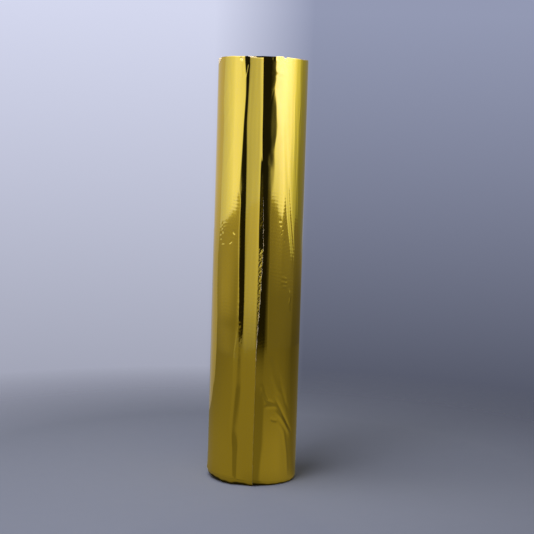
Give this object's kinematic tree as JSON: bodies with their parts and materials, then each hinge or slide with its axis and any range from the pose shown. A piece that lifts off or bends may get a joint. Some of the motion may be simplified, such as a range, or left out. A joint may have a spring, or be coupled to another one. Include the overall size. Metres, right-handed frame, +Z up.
{
  "type": "roll of sign vinyl",
  "caption": "Upright roll of gold mirror sign vinyl: face film on a release liner, wound on a board core, with a loose outer end that lifts off the roll.",
  "frame": {"origin": "centre of the roll's lower end, on the axis of the core", "axes": "+Z up along the axis of the core, -Y towards the cut edge of the web, +X to the right of it"},
  "size_m": [0.1297, 0.1324, 0.61],
  "materials": {
    "face_film": "polished",
    "release_liner": "satin",
    "wound_web": "satin",
    "core_board": "matte",
    "core_lining": "matte",
    "start_tape": "satin"
  },
  "bodies": {
    "roll": {"core_inner_ply": "core_lining", "core_board_ply_1": "core_board", "core_board_ply_2": "core_board", "core_board_ply_3": "core_board", "core_board_ply_4": "core_board", "core_board_ply_5": "core_board", "core_outer_ply": "core_lining", "start_tape": "start_tape", "wound_turns": "wound_web", "outer_liner_turn": "release_liner", "outer_film_turn": "face_film"},
    "tail": {"tail_liner": "release_liner", "tail_film": "face_film"}
  },
  "joints": [
    {"name": "tail_lift", "type": "hinge", "parent": "roll", "child": "tail", "pos_m": [-0.06182, -0.02137, 0.305], "axis": [0, 0, -1], "range_deg": [0, 75], "stiffness_Nm_per_rad": 0.06}
  ]
}
